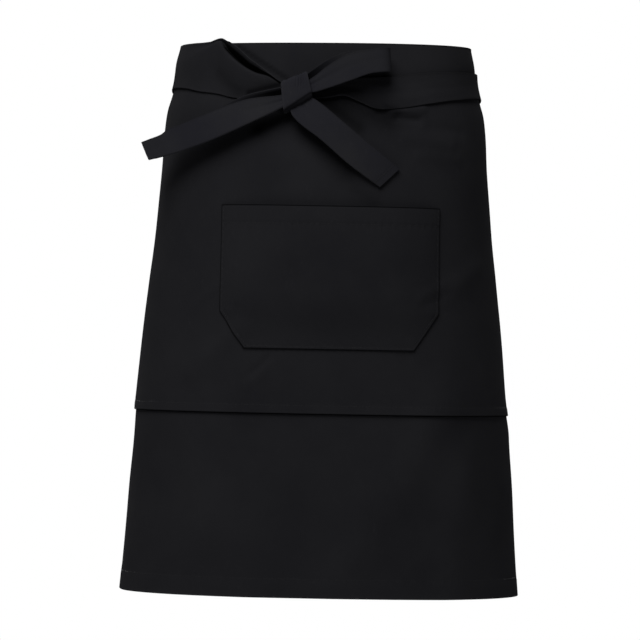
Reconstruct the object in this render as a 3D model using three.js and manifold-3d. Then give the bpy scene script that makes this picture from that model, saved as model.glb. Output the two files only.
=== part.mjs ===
// A mid-length waist apron, in the form that it has when it is worn.
// An upper panel with a patch pocket laps over a lower panel. Soft ties are sewn to the back corners,
// cross behind, wrap round to the front and are tied in a bow with one loop and two tails.
// Millimetres, +Z up. The origin is the middle of the waist at the height of the ties, and the front faces -Y.
import * as THREE from "three";
import { mergeVertices } from "three/addons/utils/BufferGeometryUtils.js";
import Module from "manifold-3d";

// Driving dimensions
const apronLength = 600;
const panelWidth = 800;
const waistWidth = 319;
const hemWidth = 439;
const waistDepth = 226;
const hemDepth = 300;
const topAboveWaist = 35.5;
const topSlant = 3;
const upperPanelLength = 402;
const seamLap = 12;
const clothThickness = 1.4;
const foldHeight = 5;
const pocketWidth = 240;
const pocketDepth = 154;
const pocketDrop = 178;
const pocketShift = 8;
const pocketClipWidth = 28;
const pocketClipHeight = 40;
const pocketThickness = 1.3;
const pocketLift = 9;
const tieWidth = 29;
const foldedTieThickness = 2.2;
const openTieThickness = 1.3;
const sewnLength = 22;
const knotAcross = -33;
const knotHeight = -19;
const knotDepth = 19;
const clearance = 0.3;
// What a flat facet cuts off the curved cloth under it
const facetAllowance = 0.45;

// The horizontal section is an oval whose width and depth have this power: 2 is an ellipse, more is squarer
const ovalPower = 2.5;
const clothColour = 0x1b1b1b;
const tieColour = 0x232323;

// How the worn form spreads from the waist to the hem. drop is a share of the length, and wide and deep are
// shares of the way from the waist's size to the hem's.
const formRows = [
  { drop: 0.0, wide: 0.0, deep: 0.0 },
  { drop: 0.031, wide: 0.067, deep: 0.06 },
  { drop: 0.059, wide: 0.092, deep: 0.13 },
  { drop: 0.076, wide: 0.122, deep: 0.18 },
  { drop: 0.099, wide: 0.183, deep: 0.26 },
  { drop: 0.119, wide: 0.242, deep: 0.34 },
  { drop: 0.159, wide: 0.295, deep: 0.5 },
  { drop: 0.218, wide: 0.33, deep: 0.68 },
  { drop: 0.288, wide: 0.388, deep: 0.78 },
  { drop: 0.358, wide: 0.448, deep: 0.82 },
  { drop: 0.438, wide: 0.538, deep: 0.85 },
  { drop: 0.508, wide: 0.618, deep: 0.88 },
  { drop: 0.578, wide: 0.688, deep: 0.91 },
  { drop: 0.658, wide: 0.757, deep: 0.93 },
  { drop: 0.728, wide: 0.795, deep: 0.95 },
  { drop: 0.808, wide: 0.863, deep: 0.965 },
  { drop: 0.878, wide: 0.907, deep: 0.98 },
  { drop: 0.948, wide: 0.955, deep: 0.99 },
  { drop: 1.0, wide: 1.0, deep: 1.0 },
];

// The soft folds of the hanging cloth, each a low ridge along a line. across is a share of half the panel's
// width, drop and spread are shares of the length, and rise is a share of the fold height.
const foldRows = [
  { across: 0.34, drop: 0.66, toAcross: 0.04, toDrop: 0.98, spread: 0.045, rise: 0.7 },
  { across: -0.4, drop: 0.68, toAcross: -0.2, toDrop: 1.0, spread: 0.045, rise: 0.6 },
  { across: 0.42, drop: 0.74, toAcross: 0.36, toDrop: 1.0, spread: 0.035, rise: 0.45 },
  { across: -0.54, drop: 0.45, toAcross: -0.6, toDrop: 1.0, spread: 0.05, rise: 0.3 },
  { across: 0.56, drop: 0.42, toAcross: 0.6, toDrop: 1.0, spread: 0.05, rise: 0.3 },
  { across: 0.67, drop: 0.71, toAcross: 0.69, toDrop: 1.0, spread: 0.045, rise: 0.8 },
  { across: -0.86, drop: 0.3, toAcross: -0.9, toDrop: 1.0, spread: 0.05, rise: 0.9 },
  { across: 0.86, drop: 0.34, toAcross: 0.88, toDrop: 1.0, spread: 0.05, rise: -0.9 },
  { across: -0.36, drop: 0.6, toAcross: -0.22, toDrop: 0.52, spread: 0.02, rise: 0.35 },
  { across: 0.36, drop: 0.44, toAcross: 0.46, toDrop: 0.4, spread: 0.02, rise: 0.35 },
];

// The tie that shows on the left, as five lines that run along it from its sewn end to the knot: its low
// edge, its face, the crest of its pleat, the valley behind the crest and its free edge. at is the way along:
// from the sewn end (0) behind the wearer to the other back corner (1), and then round the left side to the
// knot (2). The first table has the heights, as shares of the tie width above the waist line. The second has
// how far each line stands in front of its seat on the panel, as shares of it too.
const openTieLines = ["low", "face", "crest", "valley", "free"];
const openTieHeightRows = [
  { at: 0.0, low: 0.22, face: 0.5, crest: 0.76, valley: 1.0, free: 1.22 },
  { at: 0.13, low: 0.22, face: 0.5, crest: 0.76, valley: 1.0, free: 1.22 },
  { at: 0.25, low: 0.08, face: 0.36, crest: 0.62, valley: 0.86, free: 1.08 },
  { at: 0.5, low: -0.5, face: -0.22, crest: 0.04, valley: 0.28, free: 0.5 },
  { at: 0.75, low: -1.08, face: -0.8, crest: -0.54, valley: -0.3, free: -0.08 },
  { at: 0.88, low: -1.12, face: -0.84, crest: -0.58, valley: -0.34, free: -0.12 },
  { at: 1.0, low: -1.1, face: -0.82, crest: -0.56, valley: -0.32, free: -0.1 },
  { at: 1.15, low: -0.95, face: -0.6, crest: -0.28, valley: 0.0, free: 0.25 },
  { at: 1.35, low: -0.6, face: -0.12, crest: 0.38, valley: 0.8, free: 1.12 },
  { at: 1.5, low: -0.45, face: 0.0, crest: 0.5, valley: 0.9, free: 1.19 },
  { at: 1.62, low: -0.5, face: 0.03, crest: 0.62, valley: 0.98, free: 1.2 },
  { at: 1.69, low: -0.64, face: 0.05, crest: 0.84, valley: 1.07, free: 1.22 },
  { at: 1.745, low: -0.71, face: 0.06, crest: 1.12, valley: 1.18, free: 1.36 },
  { at: 1.768, low: -0.76, face: -0.1, crest: 0.86, valley: 0.93, free: 1.24 },
  { at: 1.798, low: -0.85, face: -0.22, crest: 0.55, valley: 0.63, free: 1.05 },
  { at: 1.825, low: -0.9, face: -0.36, crest: 0.31, valley: 0.39, free: 0.82 },
  { at: 1.85, low: -0.93, face: -0.46, crest: 0.12, valley: 0.2, free: 0.57 },
  { at: 1.88, low: -1.0, face: -0.54, crest: -0.05, valley: 0.04, free: 0.33 },
  { at: 1.919, low: -1.08, face: -0.62, crest: -0.18, valley: -0.12, free: 0.0 },
  { at: 1.956, low: -1.16, face: -0.8, crest: -0.44, valley: -0.39, free: -0.34 },
  { at: 2.0, low: -1.05, face: -0.85, crest: -0.66, valley: -0.61, free: -0.56 },
];
const openTieOutRows = [
  { at: 0.0, low: 0.0, face: 0.0, crest: 0.0, valley: 0.0, free: 0.0 },
  { at: 0.13, low: 0.0, face: 0.0, crest: 0.0, valley: 0.0, free: 0.0 },
  { at: 0.25, low: 0.14, face: 0.14, crest: 0.14, valley: 0.14, free: 0.14 },
  { at: 0.5, low: 0.16, face: 0.16, crest: 0.16, valley: 0.16, free: 0.16 },
  { at: 0.75, low: 0.14, face: 0.14, crest: 0.14, valley: 0.14, free: 0.14 },
  { at: 0.88, low: 0.01, face: 0.01, crest: 0.01, valley: 0.01, free: 0.01 },
  { at: 1.0, low: 0.0, face: 0.01, crest: 0.01, valley: 0.01, free: 0.0 },
  { at: 1.15, low: 0.02, face: 0.03, crest: 0.03, valley: 0.01, free: 0.0 },
  { at: 1.35, low: 0.02, face: 0.03, crest: 0.03, valley: 0.01, free: 0.0 },
  { at: 1.5, low: 0.02, face: 0.04, crest: 0.03, valley: 0.01, free: 0.0 },
  { at: 1.62, low: 0.02, face: 0.06, crest: 0.07, valley: 0.02, free: 0.01 },
  { at: 1.69, low: 0.01, face: 0.09, crest: 0.14, valley: 0.05, free: 0.04 },
  { at: 1.745, low: 0.0, face: 0.1, crest: 0.24, valley: 0.03, free: 0.05 },
  { at: 1.768, low: 0.0, face: 0.12, crest: 0.3, valley: 0.0, free: 0.11 },
  { at: 1.798, low: 0.0, face: 0.13, crest: 0.31, valley: 0.0, free: 0.17 },
  { at: 1.825, low: 0.0, face: 0.14, crest: 0.31, valley: 0.01, free: 0.19 },
  { at: 1.85, low: 0.0, face: 0.15, crest: 0.32, valley: 0.03, free: 0.21 },
  { at: 1.88, low: 0.01, face: 0.16, crest: 0.33, valley: 0.09, free: 0.22 },
  { at: 1.919, low: 0.04, face: 0.18, crest: 0.35, valley: 0.25, free: 0.24 },
  { at: 1.956, low: 0.1, face: 0.2, crest: 0.36, valley: 0.31, free: 0.28 },
  { at: 2.0, low: 0.14, face: 0.22, crest: 0.37, valley: 0.34, free: 0.31 },
];

// The folded tie that shows on the right, as its low and high edge: at, the heights and the outs are as above.
const foldedTieRows = [
  { at: 0.0, low: 0.22, high: 1.22, lowOut: 0.0, highOut: 0.0 },
  { at: 0.13, low: 0.22, high: 1.22, lowOut: 0.0, highOut: 0.0 },
  { at: 0.25, low: 0.08, high: 1.08, lowOut: 0.0, highOut: 0.0 },
  { at: 0.5, low: -0.5, high: 0.5, lowOut: 0.0, highOut: 0.0 },
  { at: 0.75, low: -1.08, high: -0.08, lowOut: 0.0, highOut: 0.0 },
  { at: 0.88, low: -1.12, high: -0.12, lowOut: 0.0, highOut: 0.0 },
  { at: 1.0, low: -1.1, high: -0.1, lowOut: 0.0, highOut: 0.0 },
  { at: 1.15, low: -0.95, high: 0.04, lowOut: 0.01, highOut: 0.01 },
  { at: 1.3, low: -0.72, high: 0.24, lowOut: 0.02, highOut: 0.01 },
  { at: 1.43, low: -0.62, high: 0.32, lowOut: 0.02, highOut: 0.01 },
  { at: 1.57, low: -0.77, high: 0.25, lowOut: 0.02, highOut: 0.01 },
  { at: 1.65, low: -0.95, high: 0.17, lowOut: 0.02, highOut: 0.02 },
  { at: 1.74, low: -1.18, high: 0.01, lowOut: 0.02, highOut: 0.02 },
  { at: 1.8, low: -1.2, high: -0.06, lowOut: 0.02, highOut: 0.03 },
  { at: 1.836, low: -0.98, high: -0.1, lowOut: 0.03, highOut: 0.04 },
  { at: 1.875, low: -0.77, high: -0.14, lowOut: 0.1, highOut: 0.05 },
  { at: 1.91, low: -0.85, high: -0.2, lowOut: 0.11, highOut: 0.06 },
  { at: 1.953, low: -0.9, high: -0.28, lowOut: 0.1, highOut: 0.07 },
  { at: 2.0, low: -0.92, high: -0.4, lowOut: 0.09, highOut: 0.09 },
];

// The strands that leave the knot, each as its top and low edge. across and rise are shares of the tie width
// from the middle of the knot, and out is a share of it in front of the panel.
const loopRows = [
  { at: 0.0, topAcross: 0.2, topRise: 0.12, topOut: 0.44, lowAcross: 0.2, lowRise: -0.14, lowOut: 0.42 },
  { at: 0.08, topAcross: 0.75, topRise: 0.54, topOut: 0.52, lowAcross: 0.7, lowRise: -0.08, lowOut: 0.48 },
  { at: 0.14, topAcross: 1.07, topRise: 0.81, topOut: 0.59, lowAcross: 1.08, lowRise: 0.03, lowOut: 0.55 },
  { at: 0.2, topAcross: 1.43, topRise: 1.05, topOut: 0.66, lowAcross: 1.51, lowRise: 0.18, lowOut: 0.62 },
  { at: 0.29, topAcross: 1.98, topRise: 1.35, topOut: 0.76, lowAcross: 2.04, lowRise: 0.38, lowOut: 0.71 },
  { at: 0.4, topAcross: 2.77, topRise: 1.53, topOut: 0.8, lowAcross: 2.74, lowRise: 0.65, lowOut: 0.77 },
  { at: 0.48, topAcross: 3.3, topRise: 1.62, topOut: 0.76, lowAcross: 3.29, lowRise: 0.73, lowOut: 0.73 },
  { at: 0.51, topAcross: 3.43, topRise: 1.65, topOut: 0.6, lowAcross: 3.42, lowRise: 0.77, lowOut: 0.58 },
  { at: 0.54, topAcross: 3.3, topRise: 1.65, topOut: 0.44, lowAcross: 3.3, lowRise: 0.82, lowOut: 0.43 },
  { at: 0.62, topAcross: 2.7, topRise: 1.56, topOut: 0.36, lowAcross: 2.7, lowRise: 0.79, lowOut: 0.35 },
  { at: 0.75, topAcross: 1.85, topRise: 1.46, topOut: 0.38, lowAcross: 1.9, lowRise: 0.55, lowOut: 0.33 },
  { at: 0.84, topAcross: 1.25, topRise: 1.2, topOut: 0.43, lowAcross: 1.32, lowRise: 0.32, lowOut: 0.32 },
  { at: 0.92, topAcross: 0.77, topRise: 0.87, topOut: 0.45, lowAcross: 0.85, lowRise: 0.16, lowOut: 0.3 },
  { at: 1.0, topAcross: 0.2, topRise: 0.42, topOut: 0.4, lowAcross: 0.2, lowRise: 0.04, lowOut: 0.28 },
];
const leftTailRows = [
  { at: 0.0, topAcross: -0.1, topRise: -0.2, topOut: 0.58, lowAcross: -0.1, lowRise: -0.55, lowOut: 0.58 },
  { at: 0.07, topAcross: -0.4, topRise: -0.3, topOut: 0.59, lowAcross: -0.37, lowRise: -0.74, lowOut: 0.59 },
  { at: 0.28, topAcross: -1.66, topRise: -0.53, topOut: 0.62, lowAcross: -1.24, lowRise: -1.26, lowOut: 0.62 },
  { at: 0.46, topAcross: -2.84, topRise: -1.05, topOut: 0.66, lowAcross: -2.36, lowRise: -1.88, lowOut: 0.67 },
  { at: 0.66, topAcross: -3.67, topRise: -1.41, topOut: 0.73, lowAcross: -3.2, lowRise: -2.24, lowOut: 0.75 },
  { at: 0.76, topAcross: -4.06, topRise: -1.57, topOut: 0.83, lowAcross: -3.58, lowRise: -2.39, lowOut: 0.83 },
  { at: 0.82, topAcross: -4.22, topRise: -1.75, topOut: 0.93, lowAcross: -3.82, lowRise: -2.47, lowOut: 0.9 },
  { at: 0.91, topAcross: -4.55, topRise: -1.89, topOut: 1.07, lowAcross: -4.14, lowRise: -2.57, lowOut: 1.0 },
  { at: 1.0, topAcross: -4.87, topRise: -2.01, topOut: 1.24, lowAcross: -4.47, lowRise: -2.67, lowOut: 1.15 },
];
const rightTailRows = [
  { at: 0.0, topAcross: 0.3, topRise: -0.2, topOut: 0.42, lowAcross: -0.1, lowRise: -0.6, lowOut: 0.42 },
  { at: 0.12, topAcross: 0.75, topRise: -0.4, topOut: 0.45, lowAcross: 0.07, lowRise: -1.02, lowOut: 0.45 },
  { at: 0.4, topAcross: 1.7, topRise: -1.22, topOut: 0.48, lowAcross: 1.02, lowRise: -1.85, lowOut: 0.44 },
  { at: 0.7, topAcross: 2.57, topRise: -2.0, topOut: 0.31, lowAcross: 1.91, lowRise: -2.69, lowOut: 0.29 },
  { at: 1.0, topAcross: 3.49, topRise: -2.81, topOut: 0.12, lowAcross: 2.86, lowRise: -3.48, lowOut: 0.11 },
];

// The knot's four corners seen from the front, as shares of the tie width from its middle.
const knotCorners = {
  leftHigh: { across: -0.54, rise: 0.26 },
  rightHigh: { across: 0.46, rise: 0.74 },
  rightLow: { across: 0.72, rise: -0.34 },
  leftLow: { across: -0.32, rise: -0.98 },
};

const wasm = await Module();
wasm.setup();

// Gives every column of a table at any place along its key column, on a smooth curve through the rows.
function smoothTable(rows, key) {
  const columns = Object.keys(rows[0]).filter((name) => name !== key);
  const places = rows.map((row) => row[key]);
  const values = rows.flatMap((row) => columns.map((name) => row[name]));
  const curve = new THREE.CubicInterpolant(places, values, columns.length);
  return (place) => {
    const found = Array.from(curve.evaluate(place));
    return Object.fromEntries(columns.map((name, i) => [name, found[i]]));
  };
}

const wornForm = smoothTable(formRows, "drop");

// The half width and half depth of the worn form at a height.
function sectionSize(height) {
  const drop = THREE.MathUtils.clamp((topAboveWaist - height) / apronLength, 0, 1);
  const { wide, deep } = wornForm(drop);
  return {
    halfWidth: THREE.MathUtils.lerp(waistWidth, hemWidth, wide) / 2,
    halfDepth: THREE.MathUtils.lerp(waistDepth, hemDepth, deep) / 2,
  };
}

// The oval's radius in the direction of an angle, which is 0 at the front and grows towards +X.
function ovalRadius({ halfWidth, halfDepth }, angle) {
  const sideways = Math.abs(Math.sin(angle) / halfWidth) ** ovalPower;
  const forwards = Math.abs(Math.cos(angle) / halfDepth) ** ovalPower;
  return (sideways + forwards) ** (-1 / ovalPower);
}

// The length of cloth from the front to each of many angles round half of the oval at a height.
const arcSteps = 240;
const knownArcs = new Map();
function arcLengths(height) {
  const key = height.toFixed(2);
  if (!knownArcs.has(key)) {
    const size = sectionSize(height);
    const lengths = [0];
    let before = new THREE.Vector2(0, ovalRadius(size, 0));
    for (let i = 1; i <= arcSteps; i++) {
      const angle = (Math.PI * i) / arcSteps;
      const radius = ovalRadius(size, angle);
      const here = new THREE.Vector2(radius * Math.sin(angle), radius * Math.cos(angle));
      lengths.push(lengths[i - 1] + here.distanceTo(before));
      before = here;
    }
    knownArcs.set(key, lengths);
  }
  return knownArcs.get(key);
}

// The angle that lies a length of cloth away from the front. Past the middle of the back it goes on round.
function angleAt(height, across) {
  const lengths = arcLengths(height);
  const half = lengths[arcSteps];
  const past = Math.abs(across) > half;
  const length = past ? 2 * half - Math.abs(across) : Math.abs(across);
  let i = lengths.findIndex((each) => each >= length);
  i = THREE.MathUtils.clamp(i, 1, arcSteps);
  const share = (length - lengths[i - 1]) / (lengths[i] - lengths[i - 1]);
  const angle = (Math.PI * (i - 1 + share)) / arcSteps;
  return Math.sign(across) * (past ? 2 * Math.PI - angle : angle);
}

// How far the soft folds lift the cloth at a place: a sum of ridges, each with a bell-shaped section.
function foldRelief(across, height) {
  let relief = 0;
  for (const row of foldRows) {
    const from = new THREE.Vector3(row.across * panelWidth / 2, topAboveWaist - row.drop * apronLength, 0);
    const to = new THREE.Vector3(row.toAcross * panelWidth / 2, topAboveWaist - row.toDrop * apronLength, 0);
    const here = new THREE.Vector3(across, height, 0);
    const nearest = new THREE.Line3(from, to).closestPointToPoint(here, true, new THREE.Vector3());
    const away = here.distanceTo(nearest) / (row.spread * apronLength);
    relief += row.rise * foldHeight * Math.exp(-away * away);
  }
  return relief;
}

// A point of the worn form: an angle, a height and a distance outwards from the bare oval.
function formPoint(angle, height, outwards) {
  const radius = ovalRadius(sectionSize(height), angle) + outwards;
  return new THREE.Vector3(radius * Math.sin(angle), -radius * Math.cos(angle), height);
}

// A point at a distance in front of the panels' middle surface, given by the cloth's length from the front.
function skirtPoint(across, height, out) {
  const surface = (a, h) => formPoint(angleAt(h, a), h, foldRelief(a, h));
  return offset(surface, across, height, out);
}

// The same for the ties, which run level round the waist: their lengths are measured at the waist line.
function waistPoint(across, height, out) {
  const surface = (a, h) => formPoint(angleAt(0, a), h, 0);
  return offset(surface, across, height, out);
}

// A surface's point moved along its outward normal.
function offset(surface, u, v, distance) {
  const step = 0.5;
  const alongU = surface(u + step, v).sub(surface(u - step, v));
  const alongV = surface(u, v + step).sub(surface(u, v - step));
  return surface(u, v).addScaledVector(alongU.cross(alongV).normalize(), distance);
}

// Even shares from 0 to 1.
function even(count) {
  return Array.from({ length: count + 1 }, (_, i) => i / count);
}

// A closed sheet of cloth round a middle surface: an outer and an inner face, stitched along the four edges.
// The outer face is on the side where the way along u crossed with the way along v points.
function sheetSolid(middle, us, vs, thickness) {
  const near = 1e-3;
  const columns = vs.length;
  const outer = [];
  const inner = [];
  for (const u of us) {
    for (const v of vs) {
      const alongU = middle(Math.min(u + near, 1), v).sub(middle(Math.max(u - near, 0), v));
      const alongV = middle(u, Math.min(v + near, 1)).sub(middle(u, Math.max(v - near, 0)));
      const normal = alongU.cross(alongV).normalize();
      outer.push(middle(u, v).addScaledVector(normal, thickness / 2));
      inner.push(middle(u, v).addScaledVector(normal, -thickness / 2));
    }
  }
  const faces = [];
  const inside = outer.length;
  const at = (i, j) => i * columns + j;
  for (let i = 0; i + 1 < us.length; i++) {
    for (let j = 0; j + 1 < columns; j++) {
      const [a, b, c, d] = [at(i, j), at(i + 1, j), at(i + 1, j + 1), at(i, j + 1)];
      faces.push(a, b, c, a, c, d);
      faces.push(inside + a, inside + c, inside + b, inside + a, inside + d, inside + c);
    }
  }
  const rim = [];
  for (let i = 0; i < us.length - 1; i++) rim.push(at(i, 0));
  for (let j = 0; j < columns - 1; j++) rim.push(at(us.length - 1, j));
  for (let i = us.length - 1; i > 0; i--) rim.push(at(i, columns - 1));
  for (let j = columns - 1; j > 0; j--) rim.push(at(0, j));
  rim.forEach((a, i) => {
    const b = rim[(i + 1) % rim.length];
    faces.push(a, inside + a, inside + b, a, inside + b, b);
  });
  const geometry = new THREE.BufferGeometry().setFromPoints([...outer, ...inner]);
  geometry.setIndex(faces);
  return geometry;
}

function toManifold(geometry) {
  const bare = geometry.clone();
  bare.deleteAttribute("normal");
  bare.deleteAttribute("uv");
  const merged = mergeVertices(bare, 1e-4);
  return new wasm.Manifold(
    new wasm.Mesh({
      numProp: 3,
      vertProperties: merged.attributes.position.array,
      triVerts: new Uint32Array(merged.index.array),
    }),
  );
}

function toGeometry(solid) {
  const mesh = solid.getMesh();
  const geometry = new THREE.BufferGeometry();
  geometry.setAttribute("position", new THREE.BufferAttribute(mesh.vertProperties, 3));
  geometry.setIndex(new THREE.BufferAttribute(mesh.triVerts, 1));
  return geometry;
}

function clothMesh(name, geometry, color, roughness) {
  geometry.computeVertexNormals();
  const mesh = new THREE.Mesh(geometry, new THREE.MeshStandardMaterial({ color, roughness, metalness: 0 }));
  mesh.name = name;
  return mesh;
}

const seamHeight = topAboveWaist - upperPanelLength;
const hemHeight = topAboveWaist - apronLength;
// Where the back of a piece that lies on the panel is, in front of the panel's middle surface
const panelSeat = clothThickness / 2 + clearance + facetAllowance;

// Even shares between two others.
function evenBetween(from, to, count) {
  return even(count).map((share) => THREE.MathUtils.lerp(from, to, share));
}

// The upper panel goes from the seam up to a top edge that rises a little towards the right.
function upperPanel() {
  const lapShare = seamLap / upperPanelLength;
  const middle = (u, v) => {
    const across = (u - 0.5) * panelWidth;
    const topEdge = topAboveWaist + topSlant * Math.sin((Math.PI * across) / panelWidth);
    return skirtPoint(across, THREE.MathUtils.lerp(seamHeight, topEdge, v), 0);
  };
  return sheetSolid(middle, even(60), [0, ...evenBetween(lapShare, 1, 12)], clothThickness);
}

// The lower panel hangs from under the upper one, one cloth and a clearance further in.
function lowerPanel() {
  const behind = -(clothThickness + clearance);
  const seamShare = 1 - seamLap / (seamHeight + seamLap - hemHeight);
  const middle = (u, v) => {
    const height = THREE.MathUtils.lerp(hemHeight, seamHeight + seamLap, v);
    return skirtPoint((u - 0.5) * panelWidth, height, behind);
  };
  return sheetSolid(middle, even(60), [...evenBetween(0, seamShare, 7), 1], clothThickness);
}

// The patch pocket has two clipped lower corners. It lies on the panel at its sides and foot, and stands off
// it in the middle and at its mouth.
function patchPocket() {
  const mouthHeight = topAboveWaist - pocketDrop;
  const clipShare = pocketClipHeight / pocketDepth;
  const seat = panelSeat + pocketThickness / 2;
  const middle = (u, v) => {
    const clip = pocketClipWidth * Math.max(0, 1 - v / clipShare);
    const sideways = 2 * u - 1;
    const across = pocketShift + sideways * (pocketWidth / 2 - clip);
    const fullness = (1 - sideways ** 4) * THREE.MathUtils.smoothstep(v, 0, 0.4) * (1 - 0.15 * v);
    return skirtPoint(across, mouthHeight - pocketDepth * (1 - v), seat + pocketLift * fullness);
  };
  const rows = [0, clipShare / 2, ...evenBetween(clipShare, 1, 5)];
  return sheetSolid(middle, even(14), rows, pocketThickness);
}

// The knot is a rounded block with four corners, a little fuller in the middle. grown makes it larger all
// round, to cut the strands that go into it a clearance short.
function knotGeometry(grown) {
  const blockPower = 4;
  const geometry = new THREE.SphereGeometry(1, 18, 12);
  const position = geometry.attributes.position;
  const { leftHigh, rightHigh, rightLow, leftLow } = knotCorners;
  const blend = (name, p, q) =>
    THREE.MathUtils.lerp(
      THREE.MathUtils.lerp(leftLow[name], rightLow[name], p),
      THREE.MathUtils.lerp(leftHigh[name], rightHigh[name], p),
      q,
    ) * tieWidth;
  for (let i = 0; i < position.count; i++) {
    const direction = new THREE.Vector3().fromBufferAttribute(position, i);
    const power = direction.toArray().reduce((sum, each) => sum + Math.abs(each) ** blockPower, 0);
    const place = direction.multiplyScalar(power ** (-1 / blockPower));
    const across = knotAcross + blend("across", (place.x + 1) / 2, (place.y + 1) / 2) + grown * place.x;
    const height = knotHeight + blend("rise", (place.x + 1) / 2, (place.y + 1) / 2) + grown * place.y;
    const out = panelSeat + knotDepth / 2 + place.z * (knotDepth / 2 + grown);
    position.setXYZ(i, ...waistPoint(across, height, out).toArray());
  }
  return geometry;
}

const aroundKnot = toManifold(knotGeometry(clearance));

function cutAtKnot(geometry) {
  return toGeometry(toManifold(geometry).subtract(aroundKnot));
}

// The way round the waist that a tie takes: from its sewn end at one back corner, behind the wearer to the
// other corner, and on round to the knot. side is -1 where the tie shows on the left and 1 on the right.
function tieRoute(side) {
  const girth = 2 * arcLengths(0)[arcSteps];
  const corner = panelWidth / 2 - sewnLength;
  const { lerp } = THREE.MathUtils;
  return (at) => {
    if (at < 1) return lerp(side * (girth - corner), side * corner, at);
    return lerp(side * corner, knotAcross, at - 1);
  };
}

// Where the ties' sections are: wider apart behind than in front
const tieStations = [...evenBetween(0, 0.5, 16), ...evenBetween(0.5, 1, 40).slice(1)];

function openTie() {
  const heights = smoothTable(openTieHeightRows, "at");
  const outs = smoothTable(openTieOutRows, "at");
  const route = tieRoute(-1);
  const seat = panelSeat + openTieThickness / 2;
  const middle = (u, v) => {
    const height = heights(u * 2);
    const out = outs(u * 2);
    const section = openTieLines.map((line, i) => ({ v: i / 4, height: height[line], out: out[line] }));
    const place = smoothTable(section, "v")(v);
    return waistPoint(route(u * 2), place.height * tieWidth, seat + Math.max(0, place.out) * tieWidth);
  };
  return cutAtKnot(sheetSolid(middle, tieStations, even(10), openTieThickness));
}

function foldedTie() {
  const lines = smoothTable(foldedTieRows, "at");
  const route = tieRoute(1);
  const seat = panelSeat + foldedTieThickness / 2;
  const middle = (u, v) => {
    const row = lines(u * 2);
    const height = THREE.MathUtils.lerp(row.low, row.high, v) * tieWidth;
    const out = THREE.MathUtils.lerp(row.lowOut, row.highOut, v) * tieWidth;
    return waistPoint(route(u * 2), height, seat + Math.max(0, out));
  };
  return cutAtKnot(sheetSolid(middle, tieStations, even(3), foldedTieThickness));
}

// A strand of folded tie between a top and a low edge.
function strand(rows, steps) {
  const lines = smoothTable(rows, "at");
  const middle = (u, v) => {
    const row = lines(u);
    const across = THREE.MathUtils.lerp(row.lowAcross, row.topAcross, v) * tieWidth;
    const rise = THREE.MathUtils.lerp(row.lowRise, row.topRise, v) * tieWidth;
    const out = THREE.MathUtils.lerp(row.lowOut, row.topOut, v) * tieWidth;
    return waistPoint(knotAcross + across, knotHeight + rise, out);
  };
  return cutAtKnot(sheetSolid(middle, even(steps), even(2), foldedTieThickness));
}

const apron = new THREE.Group();
apron.add(
  clothMesh("upper_panel", upperPanel(), clothColour, 0.92),
  clothMesh("lower_panel", lowerPanel(), clothColour, 0.92),
  clothMesh("patch_pocket", patchPocket(), clothColour, 0.92),
  clothMesh("tie_left_wrap", openTie(), tieColour, 0.9),
  clothMesh("tie_right_wrap", foldedTie(), tieColour, 0.9),
  clothMesh("tie_knot", knotGeometry(0), tieColour, 0.9),
  clothMesh("tie_bow_loop", strand(loopRows, 32), tieColour, 0.9),
  clothMesh("tie_left_tail", strand(leftTailRows, 14), tieColour, 0.9),
  clothMesh("tie_right_tail", strand(rightTailRows, 10), tieColour, 0.9),
);

export default apron;
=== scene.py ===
"""A black mid-length waist apron in worn form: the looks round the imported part.

Every cloth piece is a surface worked out with numpy from the same sizes and tables as the solids that it
stands for, so it lies where they lie. Lengths are in millimetres until a mesh is written, and then in metres.
"""

import math

import bpy
import numpy as np
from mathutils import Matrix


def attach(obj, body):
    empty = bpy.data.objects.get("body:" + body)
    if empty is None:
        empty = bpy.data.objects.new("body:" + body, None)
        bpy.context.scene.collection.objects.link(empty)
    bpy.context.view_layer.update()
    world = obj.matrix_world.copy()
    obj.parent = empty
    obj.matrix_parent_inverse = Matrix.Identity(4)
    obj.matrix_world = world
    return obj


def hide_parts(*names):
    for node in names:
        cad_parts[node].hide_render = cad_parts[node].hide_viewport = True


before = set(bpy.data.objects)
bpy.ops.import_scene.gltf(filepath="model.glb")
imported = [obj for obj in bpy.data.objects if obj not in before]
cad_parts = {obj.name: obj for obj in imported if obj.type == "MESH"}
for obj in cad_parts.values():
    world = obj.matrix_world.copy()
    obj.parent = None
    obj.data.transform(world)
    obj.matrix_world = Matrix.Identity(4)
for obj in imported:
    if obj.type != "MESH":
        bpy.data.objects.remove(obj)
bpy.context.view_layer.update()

# Sizes of the apron, in millimetres
MM = 0.001
APRON_LENGTH = 600.0
PANEL_WIDTH = 800.0
WAIST_SIZE = (319.0, 226.0)
HEM_SIZE = (439.0, 300.0)
TOP_HEIGHT = 35.5
TOP_SLANT = 3.0
UPPER_LENGTH = 402.0
SEAM_LAP = 12.0
CLOTH = 1.4
FOLD_HEIGHT = 5.0
POCKET_WIDTH = 240.0
POCKET_DEPTH = 154.0
POCKET_DROP = 178.0
POCKET_SHIFT = 8.0
POCKET_CLIP = (28.0, 40.0)
POCKET_CLOTH = 1.3
POCKET_LIFT = 9.0
TIE_WIDTH = 29.0
TIE_CLOTH = 1.3
TIE_LAYER = 0.85
SEWN_LENGTH = 22.0
KNOT_PLACE = (-33.0, -19.0)
KNOT_DEPTH = 19.0
CLEARANCE = 0.3
FACET_ALLOWANCE = 0.45
OVAL_POWER = 2.5
HEM_HEIGHT = TOP_HEIGHT - APRON_LENGTH
SEAM_HEIGHT = TOP_HEIGHT - UPPER_LENGTH
PANEL_SEAT = CLOTH / 2 + CLEARANCE + FACET_ALLOWANCE

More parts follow.
